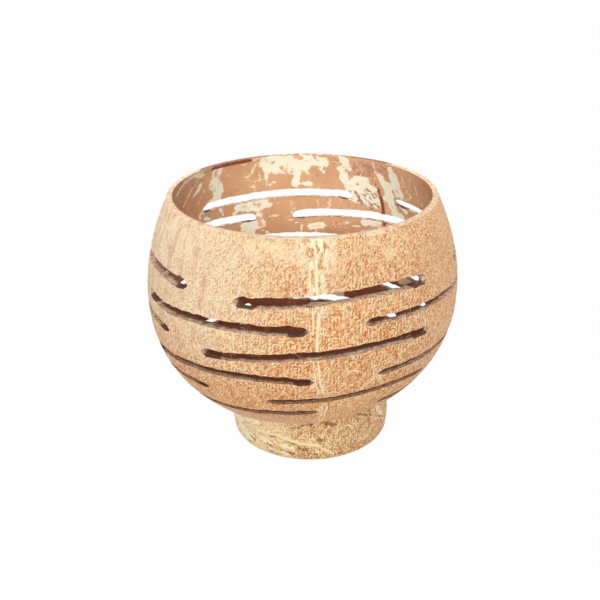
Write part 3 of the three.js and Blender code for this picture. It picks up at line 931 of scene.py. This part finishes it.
def mark_cup(mesh):
    """Marks each vertex with its depth below the skin and its share of every streak, stroke and stain."""
    places = vertex_places(mesh)
    levels = places[:, 2]
    across = places[:, 0] + lean(levels)
    angles = np.degrees(np.arctan2(across, -places[:, 1]))
    outer, inner = wall_radii(levels)
    write_attribute(mesh, "streak", streak_amounts(angles, levels))
    write_attribute(mesh, "depth", np.maximum(outer - np.hypot(across, places[:, 1]), 0))
    for name, strokes, softness in (
        ("pale", SKIN_PALE, 9.0), ("patch", LINING_STROKES, 4.5), ("vein", LINING_VEINS, 2.2),
        ("ochre", LINING_OCHRE, 3.0), ("hatched", LINING_HATCHED, 4.0), ("seam", LINING_SEAMS, 2.2),
        ("scratched", LINING_SCRATCHES, 4.0),
    ):
        write_attribute(mesh, name, stroke_amounts(strokes, angles, levels, inner, softness))
    rim_stain = np.zeros(len(angles))
    for angle, half_width, amount in RIM_STAINS:
        rim_stain = np.maximum(rim_stain, amount * np.exp(-(angle_between(angles, angle) / half_width) ** 2))
    rim_stain *= levels > RIM_HEIGHT - 1
    write_attribute(mesh, "stain", np.maximum(rim_stain, end_stain(angles, levels)))


def mark_edges(mesh, kinds):
    """Marks the vertices where the skin meets a sawn face."""
    corners = np.empty(len(mesh.loops), dtype=np.int32)
    counts = np.empty(len(mesh.polygons), dtype=np.int32)
    mesh.loops.foreach_get("vertex_index", corners)
    mesh.polygons.foreach_get("loop_total", counts)
    corner_kinds = np.repeat(kinds, counts)
    skin, sawn = np.zeros(len(mesh.vertices), bool), np.zeros(len(mesh.vertices), bool)
    skin[corners[corner_kinds == SKIN]] = True
    sawn[corners[corner_kinds == SAWN]] = True
    write_attribute(mesh, "edge", skin & sawn)


def paint_cup(obj, materials):
    mesh = obj.data
    mesh.materials.clear()
    for material in materials:
        mesh.materials.append(material)
    mark_cup(mesh)
    number = len(mesh.polygons)
    centres, normals = np.empty(number * 3), np.empty(number * 3)
    mesh.polygons.foreach_get("center", centres)
    mesh.polygons.foreach_get("normal", normals)
    centres, normals = centres.reshape(-1, 3), normals.reshape(-1, 3)
    level = centres[:, 2]
    across = centres[:, 0] + lean(level)
    radius = np.hypot(across, centres[:, 1])
    outer, inner = wall_radii(level)
    dome = np.stack([across, centres[:, 1], (level - BELLY_HEIGHT) * 1.1], 1)
    dome /= np.linalg.norm(dome, axis=1)[:, None]
    facing = (dome * normals).sum(1)
    low = level < UNCUT_BELOW
    skin = (facing > FACING) & ((radius > outer - FACE_DEPTH) | low)
    lining = (facing < -FACING) & ((radius < inner + FACE_DEPTH) | low)
    rim = (normals[:, 2] > RIM_FACING) & (level > RIM_HEIGHT - RIM_DEPTH)
    kinds = np.where(rim, RIM, np.where(skin, SKIN, np.where(lining, LINING, SAWN)))
    mesh.polygons.foreach_set("material_index", kinds.astype(np.int32))
    mark_edges(mesh, kinds)
    smooth_shade(mesh)


def smooth_shade(mesh):
    mesh.polygons.foreach_set("use_smooth", [True] * len(mesh.polygons))
    mesh.set_sharp_from_angle(angle=SHARP_ANGLE)
    mesh.update()


def to_metres(obj):
    obj.data.transform(Matrix.Scale(MM, 4))
    obj.data.update()


# Foot ring, scribed to the underside of the cup

def foot_at(way, radius, level):
    return way * radius + Vector((FOOT_OFFSET[0], FOOT_OFFSET[1], level))


def seat_level(way, inward):
    """Level at which the ring's wall meets the underside of the cup, less the gap."""
    level = 16.0
    for _ in range(6):
        level = underside(foot_at(way, foot_radius(level) - inward, 0)) - SEAT_GAP
    return level


def foot_relief(point, angle, level):
    strokes = np.array([math.degrees(angle)]), np.array([level])
    fibre = float(stroke_amounts(FOOT_FIBRES, *strokes, FOOT_BELLY_RADIUS, 1.6)[0])
    husk = float(stroke_amounts(FOOT_PALE, *strokes, FOOT_BELLY_RADIUS, 3.0)[0])
    rough = 0.22 * noise.noise(point * 0.16) + 0.09 * noise.noise(point * 0.8)
    return rough + 0.35 * fibre + 0.2 * husk * (0.6 + noise.noise(point * 0.5))


def foot_ring():
    ways = ways_round(FOOT_COLUMNS)
    outer_seats = [seat_level(way, 0) for way in ways]
    inner_seats = [seat_level(way, FOOT_WALL) for way in ways]

    def wall(inward, i, way, share):
        level = (outer_seats[i] if inward == 0 else inner_seats[i]) * share
        point = foot_at(way, foot_radius(level) - inward, level)
        calm = min(1.0, (1 - share) * 6 + 0.15)
        angle = 2 * math.pi * i / FOOT_COLUMNS
        lift = foot_relief(point, angle, level) if inward == 0 else -0.2 * noise.noise(point * 0.3)
        worn = FOOT_EDGE * math.exp(-level / 0.3) * (1 if inward == 0 else -1)
        return foot_at(way, foot_radius(level) - inward + lift * calm - worn, level)

    def top(i, way, share):
        level = outer_seats[i] + (inner_seats[i] - outer_seats[i]) * share
        radius = foot_radius(level) - FOOT_WALL * share
        return foot_at(way, radius, underside(foot_at(way, radius, 0)) - SEAT_GAP)

    def base(_, way, share):
        return foot_at(way, foot_radius(0) - FOOT_EDGE - (FOOT_WALL - 2 * FOOT_EDGE) * share, 0)

    up = [row / FOOT_WALL_ROWS for row in range(FOOT_WALL_ROWS + 1)]
    rows = rows_round(ways, lambda *spot: wall(0, *spot), up)
    rows += rows_round(ways, top, (0.3, 0.7))
    rows += rows_round(ways, lambda *spot: wall(FOOT_WALL, *spot), [1 - share for share in up])
    rows += rows_round(ways, base, (0.7, 0.3))
    return ring_of_rows("foot_ring_fine", rows, FOOT_COLUMNS)


def paint_foot(obj, materials):
    mesh = obj.data
    for material in materials:
        mesh.materials.append(material)
    places = vertex_places(mesh)
    angles = np.degrees(np.arctan2(places[:, 0] - FOOT_OFFSET[0], -(places[:, 1] - FOOT_OFFSET[1])))
    levels = places[:, 2]
    marks = ("patch", FOOT_PALE, 3.5), ("fibre", FOOT_FIBRES, 2.4), ("dark", FOOT_DARK, 2.6)
    for name, strokes, softness in marks:
        write_attribute(mesh, name, stroke_amounts(strokes, angles, levels, FOOT_BELLY_RADIUS, softness))
    write_attribute(mesh, "stain", np.zeros(len(places)))
    flat = [abs(face.normal.z) > FLAT_FACING or face.center.z < BASE_LEVEL for face in mesh.polygons]
    mesh.polygons.foreach_set("material_index", np.array(flat, dtype=np.int32))
    smooth_shade(mesh)


def glue_bead():
    """Uneven bead of glue in the corner between the inside of the ring and the underside of the cup."""
    ways = ways_round(GLUE_COLUMNS)
    inward = FOOT_WALL + SEAT_GAP
    corners = [seat_level(way, inward) - 0.05 for way in ways]
    swell = [1 + 0.28 * noise.noise(way * 5.0) + 0.12 * noise.noise(way * 17.0) for way in ways]

    def on_ring(i, way, share):
        level = corners[i] - GLUE_HEIGHT * swell[i] * share
        return foot_at(way, foot_radius(level) - inward, level)

    def on_cup(i, way, share):
        radius = foot_radius(corners[i]) - inward - GLUE_WIDTH * swell[i] * share
        return foot_at(way, radius, underside(foot_at(way, radius, 0)) - SEAT_GAP)

    def on_face(i, way, share):
        low, high = on_ring(i, way, 1), on_cup(i, way, 1)
        sag = (on_ring(i, way, 0) - (low + high) / 2) * 0.55
        return low.lerp(high, share) + sag * math.sin(math.pi * share)

    rows = rows_round(ways, on_ring, (1, 0.66, 0.33, 0))
    rows += rows_round(ways, on_cup, (0.4, 0.75, 1))
    rows += rows_round(ways, on_face, [step / GLUE_FACE_ROWS for step in range(GLUE_FACE_ROWS - 1, 0, -1)])
    return ring_of_rows("glue_bead_fine", rows, GLUE_COLUMNS)


# Build

cup = whole_cup()
apply_boolean(cup, all_cutters())
sawn = cut_material("sawn_shell", (240, 214, 190), (204, 162, 132), (88, 50, 34), (170, 122, 88))
rim_cut = cut_material("sawn_rim", (250, 226, 196), (232, 192, 158), (140, 76, 62))
paint_cup(cup, [outer_shell_material(), inner_shell_material(), sawn, rim_cut])
to_metres(cup)
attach(cup, "root")
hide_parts("shell_bowl")

foot = foot_ring()
paint_foot(foot, [foot_shell_material(), rim_cut])
to_metres(foot)
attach(foot, "root")
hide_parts("foot_ring")

glue = glue_bead()
glue.data.materials.append(glue_material())
smooth_shade(glue.data)
to_metres(glue)
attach(glue, "root")
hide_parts("glue_fillet")


# Stage, light and camera

def white_rays(tree):
    """1 for what the camera, a reflection or a clear body shows, 0 for the light that falls on the object."""
    path = tree.nodes.new("ShaderNodeLightPath")
    seen = path.outputs["Is Camera Ray"]
    for kind in ("Is Glossy Ray", "Is Transmission Ray"):
        either = tree.nodes.new("ShaderNodeMath")
        either.operation = "MAXIMUM"
        tree.links.new(seen, either.inputs[0])
        tree.links.new(path.outputs[kind], either.inputs[1])
        seen = either.outputs[0]
    return seen


def show_white(tree, plain, white, amount, output):
    """Mixes a plain shader with a white one by an amount and feeds the output with them."""
    mix = tree.nodes.new("ShaderNodeMixShader")
    for value, socket in zip((amount, plain.outputs[0], white.outputs[0]), mix.inputs):
        tree.links.new(value, socket)
    tree.links.new(mix.outputs[0], tree.nodes[output].inputs["Surface"])


def make_world():
    world = bpy.data.worlds.new("studio")
    bpy.context.scene.world = world
    world.use_nodes = True
    tree = world.node_tree
    background = tree.nodes["Background"]
    white = tree.nodes.new("ShaderNodeBackground")
    for node, color, strength in ((background, WORLD_COLOR, WORLD_STRENGTH), (white, (1, 1, 1, 1), 1.0)):
        node.inputs["Color"].default_value = color
        node.inputs["Strength"].default_value = strength
    show_white(tree, background, white, white_rays(tree), "World Output")


def make_floor():
    bpy.ops.mesh.primitive_plane_add(size=FLOOR_SIZE, location=(0, 0, FLOOR_LEVEL))
    floor = bpy.context.object
    floor.name = "floor"
    material = bpy.data.materials.new("floor_white")
    material.use_nodes = True
    tree = material.node_tree
    shader = tree.nodes["Principled BSDF"]
    shader.inputs["Base Color"].default_value = FLOOR_COLOR
    shader.inputs["Roughness"].default_value = 0.9
    glow = tree.nodes.new("ShaderNodeEmission")
    glow.inputs["Strength"].default_value = 1.0
    amount = tree.nodes.new("ShaderNodeMath")
    amount.operation = "MULTIPLY"
    amount.inputs[1].default_value = FLOOR_WHITENESS
    tree.links.new(white_rays(tree), amount.inputs[0])
    show_white(tree, shader, glow, amount.outputs[0], "Material Output")
    floor.data.materials.append(material)


def lamp(name, kind, place, aim, **values):
    """Lamp at a place, turned to its aim."""
    light = bpy.data.lights.new(name, kind)
    light.color = LAMP_COLOR
    for key, value in values.items():
        setattr(light, key, value)
    obj = new_object(name, light)
    obj.location = place
    obj.rotation_euler = (Vector(aim) - Vector(place)).to_track_quat("-Z", "Y").to_euler()
    return obj


def make_camera():
    data = bpy.data.cameras.new("camera")
    camera = new_object("camera", data)
    data.sensor_width = SENSOR_WIDTH
    data.lens = VIEW_FOCAL / FRAME_PIXELS * SENSOR_WIDTH
    data.clip_start, data.clip_end = 0.01, 50
    ahead = Vector((0, math.cos(VIEW_ELEVATION), -math.sin(VIEW_ELEVATION)))
    right = Vector((1, 0, 0))
    up = right.cross(ahead)
    rolled_right = right * math.cos(VIEW_ROLL) + up * math.sin(VIEW_ROLL)
    rolled_up = up * math.cos(VIEW_ROLL) - right * math.sin(VIEW_ROLL)
    matrix = Matrix((rolled_right, rolled_up, -ahead)).transposed().to_4x4()
    matrix.translation = (Vector(VIEW_AIM) - ahead * VIEW_DISTANCE) * MM
    camera.matrix_world = matrix
    bpy.context.scene.camera = camera


make_world()
make_floor()
lamp("key", "AREA", (-0.22, -0.90, 0.40), LAMP_AIM, size=0.6, energy=3.0)
lamp("fill", "AREA", (0.60, -0.60, 0.50), LAMP_AIM, size=0.8, energy=1.0)
# Soft lamp with a flat oval cone that shines through the mouth on the lining
mouth = lamp("mouth", "SPOT", (-0.05, -0.60, 0.56), MOUTH_AIM, energy=20.5, spot_size=MOUTH_CONE)
mouth.data.spot_blend = 0.6
mouth.data.shadow_soft_size = 0.03
mouth.scale = (1, MOUTH_FLATNESS, 1)
make_camera()
bpy.context.scene.view_settings.view_transform = "Standard"
